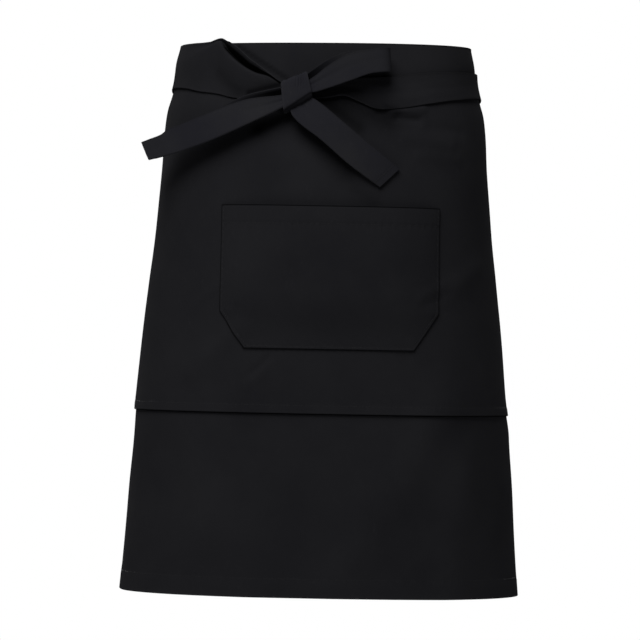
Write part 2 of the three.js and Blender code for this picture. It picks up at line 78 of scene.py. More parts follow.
# The form and the ties, in the same shares as the solids: drops and spreads of the length, across of half the
# panel's width, and the ties' heights and outs of the tie width. The first line of each names its columns.
# drop, wide, deep
FORM_ROWS = (
    (0, 0, 0),
    (0.031, 0.067, 0.06),
    (0.059, 0.092, 0.13),
    (0.076, 0.122, 0.18),
    (0.099, 0.183, 0.26),
    (0.119, 0.242, 0.34),
    (0.159, 0.295, 0.5),
    (0.218, 0.33, 0.68),
    (0.288, 0.388, 0.78),
    (0.358, 0.448, 0.82),
    (0.438, 0.538, 0.85),
    (0.508, 0.618, 0.88),
    (0.578, 0.688, 0.91),
    (0.658, 0.757, 0.93),
    (0.728, 0.795, 0.95),
    (0.808, 0.863, 0.965),
    (0.878, 0.907, 0.98),
    (0.948, 0.955, 0.99),
    (1, 1, 1),
)
# from across, from drop, to across, to drop, spread, rise
FOLD_ROWS = (
    (0.34, 0.66, 0.04, 0.98, 0.045, 0.7),
    (-0.4, 0.68, -0.2, 1, 0.045, 0.6),
    (0.42, 0.74, 0.36, 1, 0.035, 0.45),
    (-0.54, 0.45, -0.6, 1, 0.05, 0.3),
    (0.56, 0.42, 0.6, 1, 0.05, 0.3),
    (0.67, 0.71, 0.69, 1, 0.045, 0.8),
    (-0.86, 0.3, -0.9, 1, 0.05, 0.9),
    (0.86, 0.34, 0.88, 1, 0.05, -0.9),
    (-0.36, 0.6, -0.22, 0.52, 0.02, 0.35),
    (0.36, 0.44, 0.46, 0.4, 0.02, 0.35),
)
# at, low, face, crest, valley, free
OPEN_TIE_HEIGHT_ROWS = (
    (0, 0.22, 0.5, 0.76, 1, 1.22),
    (0.13, 0.22, 0.5, 0.76, 1, 1.22),
    (0.25, 0.08, 0.36, 0.62, 0.86, 1.08),
    (0.5, -0.5, -0.22, 0.04, 0.28, 0.5),
    (0.75, -1.08, -0.8, -0.54, -0.3, -0.08),
    (0.88, -1.12, -0.84, -0.58, -0.34, -0.12),
    (1, -1.1, -0.82, -0.56, -0.32, -0.1),
    (1.15, -0.95, -0.6, -0.28, 0, 0.25),
    (1.35, -0.6, -0.12, 0.38, 0.8, 1.12),
    (1.5, -0.45, 0, 0.5, 0.9, 1.19),
    (1.62, -0.5, 0.03, 0.62, 0.98, 1.2),
    (1.69, -0.64, 0.05, 0.84, 1.07, 1.22),
    (1.745, -0.71, 0.06, 1.12, 1.18, 1.36),
    (1.768, -0.76, -0.1, 0.86, 0.93, 1.24),
    (1.798, -0.85, -0.22, 0.55, 0.63, 1.05),
    (1.825, -0.9, -0.36, 0.31, 0.39, 0.82),
    (1.85, -0.93, -0.46, 0.12, 0.2, 0.57),
    (1.88, -1, -0.54, -0.05, 0.04, 0.33),
    (1.919, -1.08, -0.62, -0.18, -0.12, 0),
    (1.956, -1.16, -0.8, -0.44, -0.39, -0.34),
    (2, -1.05, -0.85, -0.66, -0.61, -0.56),
)
# at, low, face, crest, valley, free
OPEN_TIE_OUT_ROWS = (
    (0, 0, 0, 0, 0, 0),
    (0.13, 0, 0, 0, 0, 0),
    (0.25, 0.14, 0.14, 0.14, 0.14, 0.14),
    (0.5, 0.16, 0.16, 0.16, 0.16, 0.16),
    (0.75, 0.14, 0.14, 0.14, 0.14, 0.14),
    (0.88, 0.01, 0.01, 0.01, 0.01, 0.01),
    (1, 0, 0.01, 0.01, 0.01, 0),
    (1.15, 0.02, 0.03, 0.03, 0.01, 0),
    (1.35, 0.02, 0.03, 0.03, 0.01, 0),
    (1.5, 0.02, 0.04, 0.03, 0.01, 0),
    (1.62, 0.02, 0.06, 0.07, 0.02, 0.01),
    (1.69, 0.01, 0.09, 0.14, 0.05, 0.04),
    (1.745, 0, 0.1, 0.24, 0.03, 0.05),
    (1.768, 0, 0.12, 0.3, 0, 0.11),
    (1.798, 0, 0.13, 0.31, 0, 0.17),
    (1.825, 0, 0.14, 0.31, 0.01, 0.19),
    (1.85, 0, 0.15, 0.32, 0.03, 0.21),
    (1.88, 0.01, 0.16, 0.33, 0.09, 0.22),
    (1.919, 0.04, 0.18, 0.35, 0.25, 0.24),
    (1.956, 0.1, 0.2, 0.36, 0.31, 0.28),
    (2, 0.14, 0.22, 0.37, 0.34, 0.31),
)
# at, low, high, low out, high out
FOLDED_TIE_ROWS = (
    (0, 0.22, 1.22, 0, 0),
    (0.13, 0.22, 1.22, 0, 0),
    (0.25, 0.08, 1.08, 0, 0),
    (0.5, -0.5, 0.5, 0, 0),
    (0.75, -1.08, -0.08, 0, 0),
    (0.88, -1.12, -0.12, 0, 0),
    (1, -1.1, -0.1, 0, 0),
    (1.15, -0.95, 0.04, 0.01, 0.01),
    (1.3, -0.72, 0.24, 0.02, 0.01),
    (1.43, -0.62, 0.32, 0.02, 0.01),
    (1.57, -0.77, 0.25, 0.02, 0.01),
    (1.65, -0.95, 0.17, 0.02, 0.02),
    (1.74, -1.18, 0.01, 0.02, 0.02),
    (1.8, -1.2, -0.06, 0.02, 0.03),
    (1.836, -0.98, -0.1, 0.03, 0.04),
    (1.875, -0.77, -0.14, 0.1, 0.05),
    (1.91, -0.85, -0.2, 0.11, 0.06),
    (1.953, -0.9, -0.28, 0.1, 0.07),
    (2, -0.92, -0.4, 0.09, 0.09),
)
# at, top across, top rise, top out, low across, low rise, low out
LOOP_ROWS = (
    (0, 0.2, 0.12, 0.44, 0.2, -0.14, 0.42),
    (0.08, 0.75, 0.54, 0.52, 0.7, -0.08, 0.48),
    (0.14, 1.07, 0.81, 0.59, 1.08, 0.03, 0.55),
    (0.2, 1.43, 1.05, 0.66, 1.51, 0.18, 0.62),
    (0.29, 1.98, 1.35, 0.76, 2.04, 0.38, 0.71),
    (0.4, 2.77, 1.53, 0.8, 2.74, 0.65, 0.77),
    (0.48, 3.3, 1.62, 0.76, 3.29, 0.73, 0.73),
    (0.51, 3.43, 1.65, 0.6, 3.42, 0.77, 0.58),
    (0.54, 3.3, 1.65, 0.44, 3.3, 0.82, 0.43),
    (0.62, 2.7, 1.56, 0.36, 2.7, 0.79, 0.35),
    (0.75, 1.85, 1.46, 0.38, 1.9, 0.55, 0.33),
    (0.84, 1.25, 1.2, 0.43, 1.32, 0.32, 0.32),
    (0.92, 0.77, 0.87, 0.45, 0.85, 0.16, 0.3),
    (1, 0.2, 0.42, 0.4, 0.2, 0.04, 0.28),
)
# at, top across, top rise, top out, low across, low rise, low out
LEFT_TAIL_ROWS = (
    (0, -0.1, -0.2, 0.58, -0.1, -0.55, 0.58),
    (0.07, -0.4, -0.3, 0.59, -0.37, -0.74, 0.59),
    (0.28, -1.66, -0.53, 0.62, -1.24, -1.26, 0.62),
    (0.46, -2.84, -1.05, 0.66, -2.36, -1.88, 0.67),
    (0.66, -3.67, -1.41, 0.73, -3.2, -2.24, 0.75),
    (0.76, -4.06, -1.57, 0.83, -3.58, -2.39, 0.83),
    (0.82, -4.22, -1.75, 0.93, -3.82, -2.47, 0.9),
    (0.91, -4.55, -1.89, 1.07, -4.14, -2.57, 1),
    (1, -4.87, -2.01, 1.24, -4.47, -2.67, 1.15),
)
# at, top across, top rise, top out, low across, low rise, low out
RIGHT_TAIL_ROWS = (
    (0, 0.3, -0.2, 0.42, -0.1, -0.6, 0.42),
    (0.12, 0.75, -0.4, 0.45, 0.07, -1.02, 0.45),
    (0.4, 1.7, -1.22, 0.48, 1.02, -1.85, 0.44),
    (0.7, 2.57, -2, 0.31, 1.91, -2.69, 0.29),
    (1, 3.49, -2.81, 0.12, 2.86, -3.48, 0.11),
)
# The knot's corners from its middle: left high, right high, right low, left low
KNOT_CORNERS = ((-0.54, 0.26), (0.46, 0.74), (0.72, -0.34), (-0.32, -0.98))
# Grooves between the knot's ribs: place and width, in halves of the knot's width, and depth in millimetres
KNOT_GROOVES = (
    (-0.5, 0.06, 0.4),
    (0.16, 0.045, 0.6),
    (0.34, 0.045, 0.9),
    (0.52, 0.045, 0.9),
    (0.7, 0.04, 0.6),
)

# The worn form


def smooth(keys, values, places):
    """Values at places, on the cubic curve through the rows of a table.

    Between two rows it is the Hermite curve whose slope at each is that of the chord between the rows on both
    sides of it. At the table's ends the curve runs out straight.
    """
    keys, values = np.asarray(keys, float), np.asarray(values, float)
    places = np.clip(places, keys[0], keys[-1])
    high = np.clip(np.searchsorted(keys, places, side="right"), 1, len(keys) - 1)
    low = high - 1
    before = np.where(low > 0, low - 1, high)
    after = np.where(high < len(keys) - 1, high + 1, low)
    half = (keys[high] - keys[low]) / 2
    pull_low = half / (keys[low] - keys[before])
    pull_high = half / (keys[after] - keys[high])
    p = (places - keys[low]) / (keys[high] - keys[low])
    weights = (
        -pull_low * p * (1 - p) ** 2,
        1 + p * (pull_low - 0.5 + p * (-1.5 - 2 * pull_low + p * (1 + pull_low))),
        p * (0.5 + p * (1.5 + pull_high - p * (1 + pull_high))),
        -pull_high * p**2 * (1 - p),
    )
    spread = values.ndim - 1
    rows = (before, low, high, after)
    return sum(w.reshape(w.shape + (1,) * spread) * values[r] for w, r in zip(weights, rows))


def table_rows(table, places):
    """Rows of a table without its first column, at places along that first one."""
    table = np.array(table, float)
    return smooth(table[:, 0], table[:, 1:], places)


def columns(table, places):
    """The same as a tuple of columns."""
    return tuple(np.moveaxis(table_rows(table, places), -1, 0))


def section(height):
    """Half width and half depth of the worn form at a height: from waist to hem by the form table."""
    drop = np.clip((TOP_HEIGHT - height) / APRON_LENGTH, 0, 1)
    wide, deep = columns(FORM_ROWS, drop)
    half_width = (WAIST_SIZE[0] + (HEM_SIZE[0] - WAIST_SIZE[0]) * wide) / 2
    half_depth = (WAIST_SIZE[1] + (HEM_SIZE[1] - WAIST_SIZE[1]) * deep) / 2
    return half_width, half_depth


def oval_radius(half_width, half_depth, angle):
    """Radius of the oval |x/a|^p + |y/b|^p = 1 in the direction of an angle from the front."""
    sideways = np.abs(np.sin(angle) / half_width) ** OVAL_POWER
    forwards = np.abs(np.cos(angle) / half_depth) ** OVAL_POWER
    return (sideways + forwards) ** (-1 / OVAL_POWER)


def arcs_round(height, turn, steps):
    """Angles from 0 to turn, and for each height the oval's length from the front to each of them."""
    angles = np.linspace(0, turn, steps)
    radius = oval_radius(*(each[:, None] for each in section(np.atleast_1d(height))), angles)
    x, y = radius * np.sin(angles), radius * np.cos(angles)
    lengths = np.cumsum(np.hypot(np.diff(x), np.diff(y)), axis=1)
    return angles, np.pad(lengths, ((0, 0), (1, 0)))


# Angles for lengths of cloth from the front, worked out once on a grid that reaches a little past the panels
PAST_EDGE = 12
LEVELS = np.linspace(HEM_HEIGHT - PAST_EDGE, TOP_HEIGHT + PAST_EDGE, 200)
SPANS = np.linspace(0, PANEL_WIDTH / 2 + PAST_EDGE, 420)
PANEL_ANGLES, PANEL_ARCS = arcs_round(LEVELS, np.pi, 721)
ANGLE_TABLE = np.stack([np.interp(SPANS, arcs, PANEL_ANGLES) for arcs in PANEL_ARCS])
WAIST_ANGLES, WAIST_ARCS = arcs_round(0.0, 2 * np.pi, 1441)
GIRTH = WAIST_ARCS[0, -1]


def panel_angle(across, height):
    """Angle at a length of cloth from the front, at its own height: the table between four known places."""
    i = np.clip((height - LEVELS[0]) / (LEVELS[1] - LEVELS[0]), 0, len(LEVELS) - 1.001)
    j = np.clip(np.abs(across) / (SPANS[1] - SPANS[0]), 0, len(SPANS) - 1.001)
    i0, j0 = i.astype(int), j.astype(int)
    p, q = i - i0, j - j0
    low = ANGLE_TABLE[i0, j0] * (1 - q) + ANGLE_TABLE[i0, j0 + 1] * q
    high = ANGLE_TABLE[i0 + 1, j0] * (1 - q) + ANGLE_TABLE[i0 + 1, j0 + 1] * q
    return np.sign(across) * (low * (1 - p) + high * p)


def ridges(rows, across, height):
    """Sum of ridges along lines: each is its rise times exp(-d^2), with d the distance over its spread."""
    relief = np.zeros(np.broadcast(across, height).shape)
    for from_across, from_drop, to_across, to_drop, spread, rise in rows:
        ax, ay = from_across * PANEL_WIDTH / 2, TOP_HEIGHT - from_drop * APRON_LENGTH
        bx, by = to_across * PANEL_WIDTH / 2, TOP_HEIGHT - to_drop * APRON_LENGTH
        dx, dy = bx - ax, by - ay
        share = np.clip(((across - ax) * dx + (height - ay) * dy) / (dx * dx + dy * dy), 0, 1)
        away = np.hypot(across - ax - share * dx, height - ay - share * dy) / (spread * APRON_LENGTH)
        relief += rise * FOLD_HEIGHT * np.exp(-away * away)
    return relief


def form_point(angle, height, outwards):
    """Point of the worn form: its oval's radius plus a distance outwards, at an angle and a height."""
    radius = oval_radius(*section(height), angle) + outwards
    return np.stack([radius * np.sin(angle), -radius * np.cos(angle), height + 0 * radius], -1)


def unit(vectors):
    """Vectors of length one."""
    return vectors / np.linalg.norm(vectors, axis=-1, keepdims=True)


def normal_on(surface, u, v, step):
    """Unit normal of a surface: the cross product of two small steps along it."""
    along_u = surface(u + step, v) - surface(u - step, v)
    along_v = surface(u, v + step) - surface(u, v - step)
    return unit(np.cross(along_u, along_v))


def lifted(surface, u, v, out):
    """A surface's points moved out along its normal."""
    u, v = np.broadcast_arrays(np.asarray(u, float), np.asarray(v, float))
    return surface(u, v) + normal_on(surface, u, v, 0.5) * np.asarray(out)[..., None]


def bare_panel(across, height):
    """The panels' middle surface with its soft folds."""
    relief = ridges(FOLD_ROWS, across, height)
    return form_point(panel_angle(across, height), height, relief)


def bare_waist(across, height):
    """The form without folds, with lengths measured round the waist line: what the ties lie on."""
    angle = np.sign(across) * np.interp(np.abs(across), WAIST_ARCS[0], WAIST_ANGLES)
    return form_point(angle, height, 0.0)


def skirt(across, height, out):
    """Point at a distance in front of the panels."""
    return lifted(bare_panel, across, height, out)


def waist(across, height, out):
    """Point at a distance in front of the waist's form."""
    return lifted(bare_waist, across, height, out)


# Meshes


def grid_normals(points):
    """Unit normals of a grid of points: the cross product of its two gradients."""
    return unit(np.cross(np.gradient(points, axis=0), np.gradient(points, axis=1)))


def running(steps):
    """The sums of the steps so far, from 0."""
    return np.concatenate([[0], np.cumsum(steps)])


def grid_faces(rows, cols, start=0):
    """Corners of the quads of a grid whose points are numbered row by row."""
    i, j = np.meshgrid(np.arange(rows - 1), np.arange(cols - 1), indexing="ij")
    a = (start + i * cols + j).ravel()
    return np.stack([a, a + cols, a + cols + 1, a + 1], 1)


def write_piece(name, points, faces, uv=None, worn=None, tucked=None, sharp=50.0):
    """A mesh piece at the origin. Points are in millimetres, and uv, worn and the painted shade are one for
    each.
    """
    mesh = bpy.data.meshes.new(name)
    mesh.from_pydata((points * MM).tolist(), [], list(map(tuple, faces)))
    corners = np.empty(len(mesh.loops), np.int32)
    mesh.loops.foreach_get("vertex_index", corners)
    if uv is not None:
        layer = mesh.uv_layers.new(name="cloth")
        layer.data.foreach_set("uv", (uv * MM)[corners].astype(np.float32).ravel())
    # worn is wear; the second attribute is painted shade.
    for label, values in (("worn", worn), ("tucked", tucked)):
        if values is not None:
            layer = mesh.attributes.new(label, "FLOAT", "POINT")
            layer.data.foreach_set("value", values.astype(np.float32).ravel())
    mesh.polygons.foreach_set("use_smooth", np.ones(len(mesh.polygons), bool))
    mesh.set_sharp_from_angle(angle=math.radians(sharp))
    piece = bpy.data.objects.new(name, mesh)
    bpy.context.scene.collection.objects.link(piece)
    return piece


def cloth_piece(name, middle, thickness, uv, worn, tucked=0.0, painted_shade_behind=1.0):
    """A closed sheet of cloth: each face is half the thickness from the middle grid, and the rim is rounded.

    worn, the wear, and the painted shade are one for each point of the grid or the same for all. The face
    behind keeps the share of the painted shade given last.
    """
    rows, cols = middle.shape[:2]
    normals = grid_normals(middle) * (np.broadcast_to(thickness, (rows, cols)) / 2)[..., None]
    i, j = np.meshgrid(np.arange(rows), np.arange(cols), indexing="ij")
    rim = np.concatenate([
        (i * cols + j)[:-1, 0], (i * cols + j)[-1, :-1], (i * cols + j)[:0:-1, -1], (i * cols + j)[0, :0:-1]
    ])
    inward = middle[np.clip(i, 1, rows - 2), np.clip(j, 1, cols - 2)].reshape(-1, 3)[rim]
    edge = middle.reshape(-1, 3)[rim]
    reach = np.linalg.norm(normals.reshape(-1, 3)[rim], axis=1, keepdims=True)
    round_it = edge + unit(edge - inward) * reach * 0.8
    count = rows * cols
    points = np.concatenate([(middle + normals).reshape(-1, 3), (middle - normals).reshape(-1, 3), round_it])
    front = grid_faces(rows, cols)
    back = grid_faces(rows, cols, count)[:, ::-1]
    ring = 2 * count + np.arange(len(rim))
    after, ring_after = np.roll(rim, -1), np.roll(ring, -1)
    faces = np.concatenate([
        front,
        back,
        np.stack([rim, ring, ring_after, after], 1),
        np.stack([ring, rim + count, after + count, ring_after], 1),
    ])

    def everywhere(values, behind=1.0):
        return np.concatenate([values, values * behind, values[rim]])

    uv = everywhere(uv.reshape(-1, 2))
    worn = everywhere(np.broadcast_to(worn, (rows, cols)).ravel())
    tucked = everywhere(np.broadcast_to(tucked, (rows, cols)).ravel(), painted_shade_behind)
    return write_piece(name, points, faces, uv, worn, tucked)


def near(distance, reach):
    """1 on an edge and 0 from reach away on, along a soft slope."""
    share = np.clip(1 - np.abs(distance) / reach, 0, 1)
    return share * share * (3 - 2 * share)


# Stitches


def stitch_piece(name, runs, length=2.6, pitch=3.3, width=0.55):
    """Rows of thread stitches along runs. A run is its points and normals, in millimetres, close together.

    A stitch is five rings of six points along its length. Its radius swells from its ends to its middle, and
    it sinks into the cloth at both ends.
    """
    places, sizes = [], []
    for points, normals in runs:
        along = running(np.linalg.norm(np.diff(points, axis=0), axis=1))
        count = max(1, int(along[-1] / pitch))
        at = (np.arange(count) + 0.5) * along[-1] / count

        def carried(values, where):
            return np.stack([np.interp(where, along, values[:, k]) for k in range(3)], 1)

        forward = unit(carried(points, at + 0.4) - carried(points, at - 0.4))
        up = unit(carried(normals, at))
        places.append(np.stack([carried(points, at), forward, np.cross(up, forward), up], 1))
        sizes.append(count)
    frames = np.concatenate(places)
    t = np.array([-1.0, -0.75, 0.0, 0.75, 1.0])
    swell = np.array([0.3, 0.85, 1.0, 0.85, 0.3])
    sides = 6
    turn = np.linspace(0, 2 * np.pi, sides, endpoint=False)
    stitch = np.stack(np.broadcast_arrays(
        (t * length / 2)[:, None],
        swell[:, None] * np.cos(turn) * width / 2,
        swell[:, None] * np.sin(turn) * width / 2 + (0.12 - 0.3 * t**2)[:, None],
    ), -1).reshape(-1, 3)
    points = frames[:, None, 0] + np.einsum("pk,nkc->npc", stitch, frames[:, 1:])
    side = np.arange(sides)
    following = (side + 1) % sides
    band = np.stack([side, following, sides + following, sides + side], 1)
    wall = np.concatenate([band + sides * k for k in range(len(t) - 1)])
    last = sides * (len(t) - 1)
    cap = np.array([[0, 1, 2, 3], [0, 3, 4, 5]])
    one = np.concatenate([wall[:, ::-1], cap, last + cap[:, ::-1]])
    faces = (one[None] + len(stitch) * np.arange(len(frames))[:, None, None]).reshape(-1, 4)
    return write_piece(name, points.reshape(-1, 3), faces, sharp=80.0)


def run_on(face, u, v):
    """A run of stitches on a surface face(u, v): its points and its normals."""
    u, v = np.broadcast_arrays(np.asarray(u, float), np.asarray(v, float))
    return face(u, v), normal_on(face, u, v, 0.3)


# Panels

SEAM_STITCH = SEAM_HEIGHT + 9.0
HEM_STITCH = HEM_HEIGHT + 20.0
SIDE_STITCH = PANEL_WIDTH / 2 - 12.0
HEM_RISE = 0.3
PUCKER = 0.22
PUCKER_LENGTH = 7.5
PANEL_COLUMNS = 281
UPPER_ROWS = 123
LOWER_ROWS = 76
# How far in from an edge the cloth is rubbed, and how far in shade is painted where it turns under
RUBBED = 4.0
EDGE_SHADE_REACH = 1.4


def pucker(away, along):
    """The dip along a line of stitches, with the small waves that the thread pulls up across it."""
    dip = np.exp(-((away / 1.6) ** 2))
    wide = np.exp(-((away / 5.0) ** 2))
    waves = np.sin(2 * np.pi * along / PUCKER_LENGTH + 1.7 * np.sin(along / 31))
    return -1.3 * PUCKER * dip + PUCKER * wide * waves


def slack(across, height):
    """The slow unevenness of hung cloth: a few crossing waves, each under half a millimetre."""
    a = np.sin(across / 47 + 0.8 * np.sin(height / 83)) * np.cos(height / 118 + 0.4)
    b = np.sin(across / 23 - height / 61 + 1.1) * np.sin(height / 37 + 0.3 * np.sin(across / 29))
    return 0.42 * a + 0.2 * b


def hem_step(inside):
    """The extra thickness of a turned hem, with a soft shoulder where it ends."""
    return HEM_RISE / (1 + np.exp(-inside / 0.7))


# Fine folds of the upper panel under the bow and beside the pocket, in the columns of the fold table
FINE_FOLD_ROWS = [
    (0.178, 0.124, 0.266, 0.117, 0.008, 0.42),
    (0.137, 0.124, 0.191, 0.133, 0.006, -0.36),
    (0.191, 0.133, 0.254, 0.137, 0.006, -0.36),
    (0.218, 0.169, 0.356, 0.180, 0.013, 0.30),
    (0.259, 0.201, 0.384, 0.204, 0.012, 0.20),
    (0.291, 0.149, 0.395, 0.155, 0.010, -0.16),
    (-0.189, 0.601, -0.142, 0.569, 0.0053, -0.22),
    (-0.198, 0.619, -0.154, 0.596, 0.0100, 0.14),
    (0.278, 0.471, 0.355, 0.448, 0.0083, -0.12),
    (0.263, 0.457, 0.331, 0.434, 0.0100, 0.12),
    (-0.229, 0.410, -0.230, 0.468, 0.0067, 0.12),
    (-0.293, 0.444, -0.361, 0.480, 0.0083, 0.10),
]

# Places round the bow where shade is painted for its shadow, in the columns of the fold table
BOW_SHADE_ROWS = [
    (-0.095, 0.129, -0.185, 0.159, 0.0133, 0.65),
    (-0.185, 0.159, -0.314, 0.197, 0.0133, 0.22),
    (0.022, 0.082, 0.136, 0.087, 0.0183, 0.25),
    (-0.011, 0.106, 0.088, 0.154, 0.0133, 0.40),
    (0.066, 0.103, 0.166, 0.130, 0.0217, 0.28),
    (-0.043, 0.159, 0.062, 0.230, 0.0233, 0.50),
    (-0.243, 0.007, -0.098, 0.070, 0.0043, 0.45),
    (-0.116, 0.080, -0.202, 0.093, 0.0053, 0.60),
    (-0.292, 0.058, -0.236, 0.088, 0.0117, 0.22),
    (0.153, 0.115, 0.196, 0.124, 0.0040, 0.20),
    (0.196, 0.124, 0.256, 0.132, 0.0040, 0.20),
    (-0.490, 0.046, -0.504, 0.080, 0.0083, 0.12),
    (0.089, 0.266, 0.134, 0.290, 0.0150, 0.16),
    (0.020, 0.115, 0.174, 0.141, 0.0250, 0.24),
]


def painted_bow_shade(across, height):
    """How much shade is painted at a place on the panel under the bow: the sum of the shade table's ridges.
    """
    return np.clip(ridges(BOW_SHADE_ROWS, across, height) / FOLD_HEIGHT, 0, 0.9)


def upper_out(across, height):
    """How far the upper panel stands out of its plain surface: its hems, puckers, fine folds and slack."""
    side = np.abs(across) - SIDE_STITCH
    out = slack(across, height) + ridges(FINE_FOLD_ROWS, across, height)
    out = out + pucker(height - SEAM_STITCH, across) + pucker(side, height)
    return out + hem_step(SEAM_STITCH - height) + hem_step(side)


def lower_out(across, height):
    """The same for the lower panel, which hangs behind the upper one at the seam."""
    side = np.abs(across) - SIDE_STITCH
    out = slack(across, height) + pucker(height - HEM_STITCH, across) + pucker(side, height)
    return out + hem_step(HEM_STITCH - height) + hem_step(side) - (CLOTH + CLEARANCE)


def top_edge(across):
    """Height of the top edge, which rises a little towards the right."""
    return TOP_HEIGHT + TOP_SLANT * np.sin(np.pi * across / PANEL_WIDTH)


def upper_panel():
    """The upper panel's sheet, from the seam up to the top edge."""
    across = np.linspace(-PANEL_WIDTH / 2, PANEL_WIDTH / 2, PANEL_COLUMNS)[:, None]
    edge = np.array([0, 0.5, 1.1, 1.8, 2.6]) / UPPER_LENGTH
    share = np.concatenate([edge, np.linspace(0, 1, UPPER_ROWS)[1:-1], 1 - edge[::-1]])[None, :]
    height = SEAM_HEIGHT + share * (top_edge(across) - SEAM_HEIGHT)
    across = across + 0 * share
    worn = np.maximum(near(PANEL_WIDTH / 2 - np.abs(across), RUBBED), near(1 - share + 0 * across, 0.012))
    worn = np.maximum(worn, near(height - SEAM_HEIGHT, RUBBED))
    middle = skirt(across, height, upper_out(across, height))
    # Painted shade along the seam's lapped edge and, weaker, the top edge, with painted shadow round the bow.
    edge_shade = np.maximum(near(height - SEAM_HEIGHT, EDGE_SHADE_REACH), 0.7 * near(height - top_edge(across), EDGE_SHADE_REACH))
    tucked = np.maximum(edge_shade, painted_bow_shade(across, height))
    uv = np.stack([across, height], -1)
    # The painted shade stays off the face behind.
    return cloth_piece("upper_panel_cloth", middle, CLOTH, uv, worn, tucked, painted_shade_behind=0.0)


def lower_panel():
    """The lower panel's sheet, from the hem up to behind the upper panel."""
    across = np.linspace(-PANEL_WIDTH / 2, PANEL_WIDTH / 2, PANEL_COLUMNS)[:, None]
    height = np.linspace(HEM_HEIGHT, SEAM_HEIGHT + SEAM_LAP, LOWER_ROWS)[None, :]
    across, height = np.broadcast_arrays(across, height)
    worn = np.maximum(near(PANEL_WIDTH / 2 - np.abs(across), RUBBED), near(height - HEM_HEIGHT, RUBBED))
    middle = skirt(across, height, lower_out(across, height))
    return cloth_piece("lower_panel_cloth", middle, CLOTH, np.stack([across, height], -1), worn)


def panel_stitches():
    """The lines of stitches round the panels: over the seam, along the hem and up both back edges."""
    across = np.linspace(-PANEL_WIDTH / 2 + 3, PANEL_WIDTH / 2 - 3, 600)

    def upper(a, h):
        return skirt(a, h, upper_out(a, h) + CLOTH / 2)

    def lower(a, h):
        return skirt(a, h, lower_out(a, h) + CLOTH / 2)

    runs = [run_on(upper, across, SEAM_STITCH), run_on(lower, across, HEM_STITCH)]
    for side in (-SIDE_STITCH, SIDE_STITCH):
        runs.append(run_on(upper, side, np.linspace(SEAM_HEIGHT + 3, TOP_HEIGHT - 4, 300)))
        runs.append(run_on(lower, side, np.linspace(HEM_HEIGHT + 3, SEAM_HEIGHT - 3, 160)))
    return stitch_piece("panel_stitches", runs)


# Pocket

MOUTH_STITCH = 19.0
EDGE_STITCH = 2.6
POCKET_GAP = 0.25
POCKET_MOUTH = TOP_HEIGHT - POCKET_DROP
POCKET_FOOT = POCKET_MOUTH - POCKET_DEPTH


def pocket_half(v):
    """Half the pocket's width, less at its clipped lower corners."""
    return POCKET_WIDTH / 2 - POCKET_CLIP[0] * np.maximum(0, 1 - v * POCKET_DEPTH / POCKET_CLIP[1])


def pocket_place(u, v):
    """Across and height of a place on the pocket. u and v run from 0 to 1."""
    return POCKET_SHIFT + (2 * u - 1) * pocket_half(v), POCKET_FOOT + POCKET_DEPTH * v


def pocket_edge(u, v):
    """Distance in millimetres to the nearest sewn edge: a side, a clipped corner or the foot."""
    across, height = pocket_place(u, v)
    beside = POCKET_WIDTH / 2 - np.abs(across - POCKET_SHIFT)
    above = height - POCKET_FOOT
    width, rise = POCKET_CLIP
    clip = ((beside - width) * rise + above * width) / math.hypot(width, rise)
    return np.minimum(np.minimum(beside, above), clip)


def pocket_out(u, v):
    """How far the pocket stands in front of the panel: flat at its sewn edges, full in middle and mouth."""
    seat = CLOTH / 2 + POCKET_CLOTH / 2 + POCKET_GAP
    share = np.clip(v / 0.4, 0, 1)
    fullness = (1 - (2 * u - 1) ** 4) * share * share * (3 - 2 * share) * (1 - 0.15 * v)
    away = pocket_edge(u, v)
    across, height = pocket_place(u, v)
    out = seat + POCKET_LIFT * fullness + 0.5 * slack(across * 1.7, height * 1.3)
    out = out + pucker(away - EDGE_STITCH, across + height)
    under_mouth = (1 - v) * POCKET_DEPTH - MOUTH_STITCH
    return out + pucker(under_mouth, across) + hem_step(-under_mouth)


def pocket_face(u, v):
    """The pocket's front face."""
    across, height = pocket_place(u, v)
    return skirt(across, height, upper_out(across, height) + pocket_out(u, v) + POCKET_CLOTH / 2)


def pocket():
    """The patch pocket's sheet. Rows and columns crowd at its edges, which turn under and carry a painted
    shade.
    """
    clip_share = POCKET_CLIP[1] / POCKET_DEPTH
    edge = np.array([0, 0.45, 0.9, 1.4, 2.0])
    beside = edge / POCKET_WIDTH
    above = edge / POCKET_DEPTH
    us = np.concatenate([beside, np.linspace(0, 1, 121)[2:-2], 1 - beside[::-1]])
    at_clip = np.linspace(0, clip_share, 20)[2:]
    over_clip = np.linspace(clip_share, 1, 56)[1:-1]
    vs = np.concatenate([above, at_clip, over_clip, 1 - above[::-1][1:]])
    u, v = np.meshgrid(us, vs, indexing="ij")
    across, height = pocket_place(u, v)
    away = pocket_edge(u, v)
    worn = np.maximum(near(away, 3), near((1 - v) * POCKET_DEPTH, 3))
    # Painted shade along the sewn edges and the mouth's top edge.
    tucked = np.maximum(0.8 * near(away, EDGE_SHADE_REACH), 0.9 * near((1 - v) * POCKET_DEPTH, 1.0))
    middle = skirt(across, height, upper_out(across, height) + pocket_out(u, v))
    return cloth_piece("pocket_cloth", middle, POCKET_CLOTH, np.stack([across, height], -1), worn, tucked)


